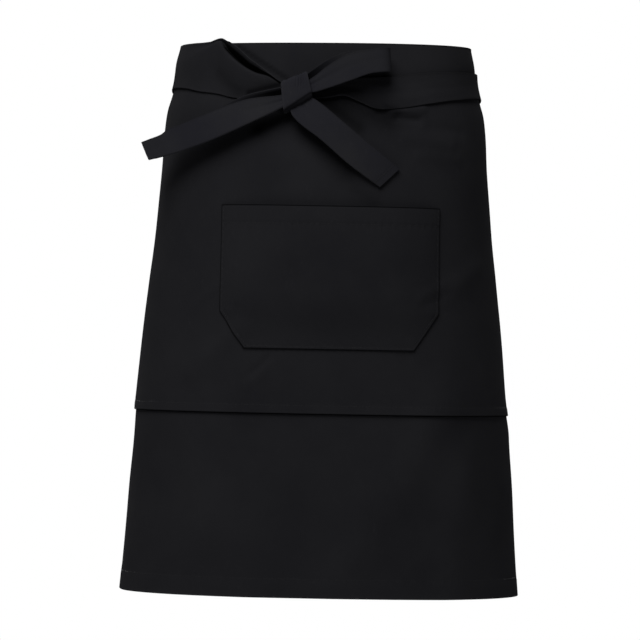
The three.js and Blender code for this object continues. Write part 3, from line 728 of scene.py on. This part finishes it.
def pocket_stitches():
    """The pocket's stitches: a line under its mouth's hem, and one round its sides, corners and foot."""
    inset = EDGE_STITCH
    across = POCKET_WIDTH / 2 - inset
    foot = POCKET_FOOT + inset
    clip_high = POCKET_FOOT + POCKET_CLIP[1] + 0.3 * inset
    clip_in = POCKET_CLIP[0] + 0.3 * inset
    turns = [(-across, POCKET_MOUTH - 1.5), (-across, clip_high), (-POCKET_WIDTH / 2 + clip_in + inset, foot)]
    turns += [(-a, h) for a, h in reversed(turns)]

    def on_face(across, height):
        v = (height - POCKET_FOOT) / POCKET_DEPTH
        return pocket_face((across / pocket_half(v) + 1) / 2, v)

    runs = []
    for (a0, h0), (a1, h1) in zip(turns, turns[1:]):
        share = np.linspace(0, 1, 200)
        runs.append(run_on(on_face, a0 + (a1 - a0) * share, h0 + (h1 - h0) * share))
    mouth = np.linspace(-POCKET_WIDTH / 2 + 3, POCKET_WIDTH / 2 - 3, 300)
    runs.append(run_on(on_face, mouth, POCKET_MOUTH - MOUTH_STITCH))
    return stitch_piece("pocket_stitches", runs)


# Ties

# How close the ties lie on the panel, and how far apart the middles of a folded tie's two layers are, when it
# is loose and when it is pressed round the waist, where the layers run into each other inside the fold
WRAP_CLEAR = 0.35
LAYER_GAP = 1.25
WRAP_GAP = 0.5
# An end's hem, the fall in thickness at it, and its stitches' distance from the end
END_HEM = 8.6
END_HEM_STEP = 0.45
END_STITCH = 8.0
# Where along the left tie its crest starts to hang over
OVERHANG_PLACE = 1.745
# How far from the knot the long tail's layers stand open, how near it they close, and how far shade is
# painted between them
OPEN_LENGTH = 85.0
CLOSED_LENGTH = 9.0
GAP_SHADE_LENGTH = 80.0


def tie_route(side, at):
    """Length round the waist where a tie is: from its sewn end to the other back corner, then to the knot."""
    corner = PANEL_WIDTH / 2 - SEWN_LENGTH
    behind = side * (GIRTH - corner) + (side * corner - side * (GIRTH - corner)) * at
    beside = side * corner + (KNOT_PLACE[0] - side * corner) * (at - 1)
    return np.where(at < 1, behind, beside)


def creases(along, share, strength):
    """Small creases that run along a tie: three waves across it that wander along it, in millimetres."""
    wander = 0.5 * np.sin(along / 23) + 0.3 * np.sin(along / 9 + 1)
    wide = np.sin(2 * np.pi * (1.4 * share + 0.21 * wander))
    narrow = np.sin(2 * np.pi * (2.9 * share - 0.3 * wander) + 2)
    return strength * (wide + 0.6 * narrow + 0.4 * np.sin(along / 13 + 5 * share))


def share_up(middle):
    """Shares of the way up a band's section, by the mean lengths of its steps."""
    steps = np.linalg.norm(np.diff(middle, axis=1), axis=-1).mean(0)
    return running(steps) / steps.sum()


def fold_over(middle, gap, lip, part, lean):
    """The middle surface of a tie folded lengthwise, made from the band that it lies on.

    It runs from the front layer's free edge down to the fold at the low edge, in a half circle round it, and
    up the back layer. Towards the free edges, as the cube of the way up, the layers part, and the back one
    stands higher by lip and leans forwards by lean. These three lengths are one for each row, or the same for
    all.
    """
    normal = grid_normals(middle)
    normal = normal * np.where(normal[0, :, 1].mean() > 0, -1, 1)
    down = unit(middle[:, :1] - middle[:, 1:2])
    up = unit(middle[:, -1:] - middle[:, -2:-1])
    turn = np.linspace(0, np.pi, 6)[1:-1, None]
    share = share_up(middle)[:, None] ** 3
    lip, part, lean = (np.reshape(each, (-1, 1, 1)) for each in (lip, part, lean))
    front = middle + normal * (gap / 2 + part * share / 2)
    back = middle + normal * (lean * share**4 - gap / 2 - part * share / 2) + up * lip * share
    fold = middle[:, :1] + (down * np.sin(turn) + normal[:, :1] * np.cos(turn)) * gap / 2
    return np.concatenate([front[:, ::-1], fold, back], axis=1)


def folded_piece(
    name, middle, along, thickness=TIE_LAYER,
    lip=0.5, part=0.35, lean=0.0, gap=LAYER_GAP, gap_shade=0.0, shade=0.0,
):
    """A folded tie: its sheet, with the cloth's own length and width as its UV map, and its edges worn.

    The next to last argument, one for each row or the same for all, says how much shade is painted between
    the layers, and shade, the same or one for each point of the band, how much is painted on the front layer.
    """
    section = fold_over(middle, gap, lip, part, lean)
    across = running(np.linalg.norm(np.diff(section, axis=1), axis=-1).mean(0))
    uv = np.stack(np.broadcast_arrays(along[:, None], across[None, :]), -1)
    to_fold = across - across[-1] / 2
    to_edge = np.minimum(across, across[-1] - across)
    worn = np.maximum(near(to_fold, 3), near(to_edge, 2))
    if np.ndim(thickness):
        thickness = thickness[:, None]
    up_back = share_up(middle)
    # Painted shade along the free edges, between the layers and, as given, on the front layer.
    tucked = np.zeros(section.shape[:2]) + 0.3 * near(to_edge, 1.3)
    tucked[:, -len(up_back):] += np.reshape(gap_shade, (-1, 1)) * (1 - near(1 - up_back, 0.05))
    tucked[:, :len(up_back)] += np.broadcast_to(shade, middle.shape[:2])[:, ::-1]
    return cloth_piece(name, section, thickness, uv, worn, np.clip(tucked, 0, 1))


def along_rows(middle):
    """Length along a band from its first row, by the steps of its middle line."""
    line = middle[:, middle.shape[1] // 2]
    return running(np.linalg.norm(np.diff(line, axis=0), axis=1))


def dense_stations():
    """Places along a wrapping tie: coarse behind, and fine in front where it shows."""
    return np.concatenate([np.linspace(0, 1, 110), np.linspace(1, 2, 230)[1:]])


def left_wrap():
    """The opened tie, through its five lines: low edge, face, crest, valley and free edge."""
    at = dense_stations()
    v = np.linspace(0, 1, 41)
    heights = table_rows(OPEN_TIE_HEIGHT_ROWS, at).T
    outs = table_rows(OPEN_TIE_OUT_ROWS, at).T
    lines = np.linspace(0, 1, 5)
    height = smooth(lines, heights, v).T * TIE_WIDTH
    out = np.maximum(0, smooth(lines, outs, v).T) * TIE_WIDTH
    route = tie_route(-1, at)[:, None] + 0 * v
    along = -tie_route(-1, at)
    relief = creases(along[:, None], v, 0.3 * near(2 - at, 0.5)[:, None]) + slack(route, height)
    hem = 0.25 * (near(v, 0.16) + near(1 - v, 0.16))
    middle = waist(route, height, CLOTH / 2 + TIE_CLOTH / 2 + WRAP_CLEAR + out + relief + hem)
    uv = np.stack(np.broadcast_arrays(along[:, None], 2 * TIE_WIDTH * v), -1)
    worn = np.maximum(near(v, 0.05), near(1 - v, 0.05)) + 0 * route
    # Painted shadow in the wedge behind the overhanging crest, and painted shade round the bow.
    crest_shadow = np.clip((at - OVERHANG_PLACE) / 0.025, 0, 1)[:, None]
    tucked = crest_shadow * np.clip((v - 0.5) / 0.05, 0, 1) * np.clip((0.95 - v) / 0.05, 0, 1)
    tucked = np.clip(tucked + painted_bow_shade(route, height), 0, 1)
    return cloth_piece("left_wrap_cloth", middle, TIE_CLOTH, uv, worn, tucked)


def right_wrap():
    """The folded tie on the right, between its low and its high edge."""
    at = dense_stations()
    v = np.linspace(0, 1, 13)
    low, high, low_out, high_out = columns(FOLDED_TIE_ROWS, at)
    height = (low[:, None] * (1 - v) + high[:, None] * v) * TIE_WIDTH
    out = np.maximum(0, (low_out[:, None] * (1 - v) + high_out[:, None] * v) * TIE_WIDTH)
    route = tie_route(1, at)[:, None] + 0 * v
    relief = creases(route, v, 0.3 * near(2 - at, 0.8)[:, None]) + slack(route, height)
    layers = TIE_LAYER + WRAP_GAP / 2
    middle = waist(route, height, CLOTH / 2 + WRAP_CLEAR + layers + out + relief)
    # Painted shade under the bow, on the tie's front layer.
    shade = painted_bow_shade(route, height)[::-1]
    along = along_rows(middle)
    return folded_piece("right_wrap_cloth", middle[::-1], along, gap=WRAP_GAP, lip=0.0, shade=shade)


def strand_middle(rows, count, strength=0.2):
    """The band that a strand lies on, between its low and its high edge, both measured from the knot."""
    at = np.linspace(0, 1, count)
    v = np.concatenate([np.linspace(0, 0.93, 12), [0.975, 1]])
    high_across, high_rise, high_out, low_across, low_rise, low_out = columns(rows, at)

    def blended(low, high):
        return (low[:, None] * (1 - v) + high[:, None] * v) * TIE_WIDTH

    relief = creases(at[:, None] * 150, v, strength * (0.35 + near(at[:, None], 0.4)))
    across = KNOT_PLACE[0] + blended(low_across, high_across)
    height = KNOT_PLACE[1] + blended(low_rise, high_rise)
    return waist(across, height, blended(low_out, high_out) + relief)


def end_hem(along):
    """Thickness along a tail. It falls by a step at the end hem, where a real turned hem is thicker."""
    return TIE_LAYER + END_HEM_STEP / (1 + np.exp((along[-1] - END_HEM - along) / -0.5))


def bow_loop():
    """The loop: one folded strand that goes out, turns and comes back behind itself."""
    middle = strand_middle(LOOP_ROWS, 170)
    along = along_rows(middle)
    # Shade painted between the loop's layers where it comes back to the knot.
    return folded_piece("bow_loop_cloth", middle, along, gap_shade=0.9 * near(along[-1] - along, 60))


def tail(name, rows, count, opened=0.0):
    """A free end of the tie, with a hem at its end. opened says how far its back layer stands up."""
    middle = strand_middle(rows, count)
    along = along_rows(middle)
    open_here = opened * np.clip(1 - along / OPEN_LENGTH, 0, 1) * np.clip(along / CLOSED_LENGTH, 0.1, 1)
    # Shade painted between the opened layers, darkest near the knot.
    gap_shade = np.clip(1.2 - along / GAP_SHADE_LENGTH, 0, 0.95) if opened else 0.0
    lip, part, lean = 0.3 + open_here, 0.3 + 0.2 * open_here, 0.4 * open_here
    return folded_piece(name, middle, along, end_hem(along), lip, part, lean, gap_shade=gap_shade)


def tail_stitches():
    """The stitches across the hems of the two free ends."""
    runs = []
    for rows in (LEFT_TAIL_ROWS, RIGHT_TAIL_ROWS):
        middle = strand_middle(rows, 90)
        along = along_rows(middle)
        row = np.argmin(np.abs(along - along[-1] + END_STITCH))
        normal = grid_normals(middle)[row]
        front = middle[row] + normal * (LAYER_GAP / 2 + TIE_LAYER / 2 + 0.15)
        both = np.concatenate([front, normal], 1)
        places = np.linspace(0.03, 0.97, 60) * (len(front) - 1)
        carried = np.stack([np.interp(places, np.arange(len(front)), each) for each in both.T], 1)
        runs.append((carried[:, :3], carried[:, 3:]))
    return stitch_piece("tie_stitches", runs, length=2.2, pitch=2.8, width=0.5)


def knot():
    """The knot: a band wrapped once round the strands, seen as a rounded block with dished ends.

    turn goes round the band and x across it. The section is a rounded square, |y|^4 + |z|^4 = 1, and near the
    band's two edges its radius falls along part of a circle and then runs inwards. Ribs run round with the
    band, and its lower edge steps back. The four corners are blended over the band to place it.
    """
    turn = np.linspace(0, 2 * np.pi, 145)[:-1]
    x = np.concatenate([np.full(6, -0.9), np.linspace(-0.9, 0.9, 61), np.full(6, 0.9)])
    fall = np.concatenate([np.linspace(0.12, 0.9, 6), np.ones(61), np.linspace(0.9, 0.12, 6)])
    edge = np.clip((np.abs(x) - 0.72) / 0.28, 0, 1)
    radius = fall * np.sqrt(1 - (0.62 * edge) ** 2)
    square = (np.abs(np.cos(turn)) ** 4 + np.abs(np.sin(turn)) ** 4) ** -0.25
    up, forwards = np.sin(turn)[:, None], (np.cos(turn) * square)[:, None]
    y = up * square[:, None] * radius
    z = forwards * radius
    x = x * np.where(fall < 1, 0.97, 1) + 0 * y
    lean = 0.16 * (1 - y)
    relief = 0.15 * np.sin(9 * x + 2 * y)
    high_part = 1 / (1 + np.exp(-(y - 0.1) / 0.15))
    for groove, width, deep in KNOT_GROOVES:
        relief -= high_part * deep * np.exp(-(((x - groove + lean * (groove > 0)) / width) ** 2))
    under_line = y + 0.75 - 0.16 * x
    under = 1 / (1 + np.exp(under_line / 0.04))
    relief -= 0.9 * under
    p, q = ((x + 1) / 2)[..., None], ((y + 1) / 2)[..., None]
    left_high, right_high, right_low, left_low = (np.array(each) * TIE_WIDTH for each in KNOT_CORNERS)
    place = q * ((1 - p) * left_high + p * right_high) + (1 - q) * ((1 - p) * left_low + p * right_low)
    grow = relief * (radius > 0.9)
    across = KNOT_PLACE[0] + place[..., 0]
    height = KNOT_PLACE[1] + place[..., 1] + grow * up
    points = waist(across, height, PANEL_SEAT + (1 + z) * KNOT_DEPTH / 2 + grow * forwards)
    rows, cols = points.shape[:2]
    count = rows * cols
    ring = np.arange(rows) * cols
    after = np.roll(ring, -1)
    faces = (grid_faces(rows + 1, cols) % count).tolist()
    faces += np.stack([ring, after, np.full(rows, count)], 1).tolist()
    faces += np.stack([after + cols - 1, ring + cols - 1, np.full(rows, count + 1)], 1).tolist()
    flat = np.concatenate([points.reshape(-1, 3), [points[:, 0].mean(0), points[:, -1].mean(0)]])
    uv = np.stack([np.broadcast_to(turn[:, None] * 14, x.shape), x * 14.5], -1).reshape(-1, 2)
    uv = np.concatenate([uv, [[0, -14.5], [0, 14.5]]])
    worn = np.concatenate([near(np.abs(x) - 0.85, 0.1).ravel(), [0, 0]])
    # Painted shade under the stepped-back lower edge and along its line, and full painted shade at the dished
    # ends' middles.
    tucked = np.concatenate([(0.5 * under + 0.3 * near(under_line, 0.12)).ravel(), [1, 1]])
    return write_piece("knot_cloth", flat, faces, uv, worn, tucked)


# Materials

# A wave texture's scale for diagonal bands one unit apart along an edge, and the length of a thread's ply
WAVE_SCALE = 0.628
PLY_LENGTH = 0.7


def linear(colour):
    """The linear colour of an sRGB hex value."""
    parts = np.array([int(colour[k:k + 2], 16) for k in (1, 3, 5)]) / 255
    return (*np.where(parts <= 0.04045, parts / 12.92, ((parts + 0.055) / 1.055) ** 2.4), 1.0)


def add(tree, kind, inputs=None, **settings):
    """Adds a shader node. settings are its own properties. inputs are values, or (node, output) to link."""
    made = tree.nodes.new("ShaderNode" + kind)
    for name, value in settings.items():
        setattr(made, name, value)
    for socket, value in (inputs or {}).items():
        if isinstance(value, tuple) and isinstance(value[0], bpy.types.Node):
            tree.links.new(value[0].outputs[value[1]], made.inputs[socket])
        else:
            made.inputs[socket].default_value = value
    return made


def empty_material(name):
    """A new material without nodes, and its tree."""
    material = bpy.data.materials.new(name)
    material.use_nodes = True
    material.node_tree.nodes.clear()
    return material, material.node_tree


def twill(name, dark, light, rubbed, shade_colour, line_mm, bump):
    """Cotton and polyester twill, piece-dyed black and washed soft: matt, with fine diagonal lines.

    The dye lies a little unevenly, turned edges are rubbed a little paler, and painted glint specks stand for
    fibres that catch light. Painted shade darkens the colour where shade falls: sewn edges, folds, round the
    bow.
    line_mm is the distance between two diagonal lines along the cloth's edge, drawn coarser than the real
    0.6 mm so that they show.
    """
    material, tree = empty_material(name)
    cloth = add(tree, "UVMap", uv_map="cloth")
    place = add(tree, "TexCoord")
    weave = {"Vector": (cloth, "UV"), "Scale": WAVE_SCALE / (line_mm * MM), "Distortion": 0.6, "Detail": 1.0}
    lines = add(tree, "TexWave", weave, bands_direction="DIAGONAL")
    threads = add(tree, "TexNoise", {"Vector": (cloth, "UV"), "Scale": 1 / (1.1 * MM), "Detail": 2.0})
    uneven = {"Vector": (place, "Object"), "Scale": 11.0, "Detail": 3.0, "Roughness": 0.55}
    patches = add(tree, "TexNoise", uneven)
    # Pale specks from this noise are painted glints, standing for fibres that catch the light.
    glint_specks = add(tree, "TexNoise", {"Vector": (place, "Object"), "Scale": 420.0, "Detail": 1.0})
    dye = add(tree, "MapRange", {"Value": (patches, "Fac"), "From Min": 0.3, "From Max": 0.7})
    dyed = add(tree, "Mix", {"Factor": (dye, "Result"), 6: linear(dark), 7: linear(light)}, data_type="RGBA")
    few = {"Value": (glint_specks, "Fac"), "From Min": 0.66, "From Max": 0.8, "To Max": 0.35}
    painted_glint = add(tree, "MapRange", few)
    worn = add(tree, "Attribute", attribute_name="worn")
    rub = add(tree, "Math", {0: (worn, "Fac"), 1: 0.12}, operation="MULTIPLY")
    # Paler at rubbed edges, which is wear, and at the painted glint specks.
    pale = add(tree, "Math", {0: (rub, "Value"), 1: (painted_glint, "Result")}, operation="MAXIMUM")
    used = add(tree, "Mix", {"Factor": (pale, "Value"), 6: (dyed, 2), 7: linear(rubbed)}, data_type="RGBA")
    # Painted shade: the colour darkens towards the shade colour by this attribute, where shade falls.
    tucked = add(tree, "Attribute", attribute_name="tucked")
    colour = add(tree, "Mix", {"Factor": (tucked, "Fac"), 6: (used, 2), 7: linear(shade_colour)}, data_type="RGBA")
    height = add(tree, "Math", {0: (lines, "Fac"), 1: (threads, "Fac")}, operation="ADD")
    relief = add(tree, "Bump", {"Strength": bump, "Distance": 0.12 * MM, "Height": (height, "Value")})
    rough = add(tree, "MapRange", {"Value": (threads, "Fac"), "To Min": 0.82, "To Max": 0.98})
    shader = add(tree, "BsdfPrincipled", {
        "Base Color": (colour, 2),
        "Roughness": (rough, "Result"),
        "Specular IOR Level": 0.0,
        "Sheen Weight": 0.0015,
        "Sheen Roughness": 0.5,
        "Normal": (relief, "Normal"),
    })
    add(tree, "OutputMaterial", {"Surface": (shader, "BSDF")})
    return material


def spun_thread(name, colour):
    """Spun polyester sewing thread: a little smoother than the cloth, with the twist of its plies."""
    material, tree = empty_material(name)
    place = add(tree, "TexCoord")
    twist = {"Vector": (place, "Object"), "Scale": WAVE_SCALE / (PLY_LENGTH * MM)}
    plies = add(tree, "TexWave", twist, bands_direction="DIAGONAL")
    relief = add(tree, "Bump", {"Strength": 0.5, "Distance": 0.06 * MM, "Height": (plies, "Fac")})
    shader = add(tree, "BsdfPrincipled", {
        "Base Color": linear(colour),
        "Roughness": 0.6,
        "Specular IOR Level": 0.02,
        "Normal": (relief, "Normal"),
    })
    add(tree, "OutputMaterial", {"Surface": (shader, "BSDF")})
    return material


# The black after the rubbed colour is the colour of the painted shade.
panel_cloth = twill("black_twill", "#070708", "#09090a", "#0f0f10", "#000000", 1.5, 0.35)
tie_cloth = twill("folded_black_twill", "#08080a", "#0b0b0c", "#111112", "#000000", 1.3, 0.35)
panel_thread = spun_thread("black_thread", "#0a0a0b")
tie_thread = spun_thread("black_tie_thread", "#0d0d0e")

# The pieces, the solids that they stand for and the cloth that they were cut from

RIDERS = (
    (upper_panel(), "upper_panel", "panel_cloth", panel_cloth),
    (lower_panel(), "lower_panel", "panel_cloth", panel_cloth),
    (pocket(), "patch_pocket", "panel_cloth", panel_cloth),
    (left_wrap(), "tie_left_wrap", "tie_cloth", panel_cloth),
    (right_wrap(), "tie_right_wrap", "tie_cloth", panel_cloth),
    (knot(), "tie_knot", "tie_cloth", tie_cloth),
    (bow_loop(), "tie_bow_loop", "tie_cloth", tie_cloth),
    (tail("left_tail_cloth", LEFT_TAIL_ROWS, 110, opened=10.0), "tie_left_tail", "tie_cloth", tie_cloth),
    (tail("right_tail_cloth", RIGHT_TAIL_ROWS, 90), "tie_right_tail", "tie_cloth", tie_cloth),
    (panel_stitches(), None, "panel_cloth", panel_thread),
    (pocket_stitches(), None, "panel_cloth", panel_thread),
    (tail_stitches(), None, "tie_cloth", tie_thread),
)
for piece, node, slot, material in RIDERS:
    piece.data.materials.append(material)
    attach(piece, "root")
    if node:
        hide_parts(node)

# Studio: a pale floor below, white all round, one large soft light high above the front and two behind

FLOOR_RADIUS = 2500.0
FLOOR_HEIGHT = HEM_HEIGHT - 400.0
FLOOR_SIDES = 96


def pale_floor():
    """A flat disc, well below the hem and outside the front view."""
    turn = np.linspace(0, 2 * np.pi, FLOOR_SIDES, endpoint=False)
    points = np.stack([FLOOR_RADIUS * np.cos(turn), FLOOR_RADIUS * np.sin(turn), 0 * turn + FLOOR_HEIGHT], 1)
    points = np.concatenate([points, [[0, 0, FLOOR_HEIGHT]]])
    ring = np.arange(FLOOR_SIDES)
    floor = write_piece("floor", points, np.stack([ring, np.roll(ring, -1), 0 * ring + FLOOR_SIDES], 1))
    material = bpy.data.materials.new("pale_floor")
    material.use_nodes = True
    paint = material.node_tree.nodes["Principled BSDF"]
    paint.inputs["Base Color"].default_value = linear("#eeeeee")
    paint.inputs["Roughness"].default_value = 0.9
    floor.data.materials.append(material)


pale_floor()
scene = bpy.context.scene
scene.view_settings.view_transform = "Standard"
world = bpy.data.worlds.new("white_studio")
world.use_nodes = True
backdrop = world.node_tree.nodes["Background"]
backdrop.inputs["Color"].default_value = (1.0, 1.0, 1.0, 1.0)
ray = world.node_tree.nodes.new("ShaderNodeLightPath")
strength = world.node_tree.nodes.new("ShaderNodeMapRange")
strength.inputs["To Min"].default_value = 0.32
world.node_tree.links.new(ray.outputs["Is Camera Ray"], strength.inputs["Value"])
world.node_tree.links.new(strength.outputs["Result"], backdrop.inputs["Strength"])
scene.world = world

# Each light's place in metres, its width and its power. The first stands for the photograph's own light. The
# other two stand behind, where they light the sides and the back and leave the front as it is.
LIGHTS = (
    ("key", (-0.5, -1.45, 1.95), 1.8, 432.0),
    ("rear_left", (-1.9, 3.2, 1.5), 2.0, 360.0),
    ("rear_right", (1.9, 3.2, 1.5), 2.0, 360.0),
)
AIMED_AT = (0.0, 0.0, -0.25)
for name, place, width, power in LIGHTS:
    light = bpy.data.lights.new(name, "AREA")
    light.shape = "DISK"
    light.size = width
    light.energy = power
    stand = bpy.data.objects.new(name, light)
    stand.location = place
    aim = np.subtract(AIMED_AT, place)
    stand.rotation_euler = (math.atan2(math.hypot(aim[0], aim[1]), -aim[2]), 0, math.atan2(-aim[0], aim[1]))
    scene.collection.objects.link(stand)

# The photograph's camera: a long lens 4.93 m in front, level and rolled a little
CAMERA_PLACE = (-0.00222, -4.93, -0.26484)
CAMERA_LENS = 249.77
CAMERA_ROLL = -1.1
camera = bpy.data.cameras.new("camera")
camera.lens = CAMERA_LENS
camera.sensor_width = 36.0
camera_object = bpy.data.objects.new("camera", camera)
camera_object.location = CAMERA_PLACE
camera_object.rotation_euler = (math.radians(90), math.radians(CAMERA_ROLL), 0)
scene.collection.objects.link(camera_object)
scene.camera = camera_object
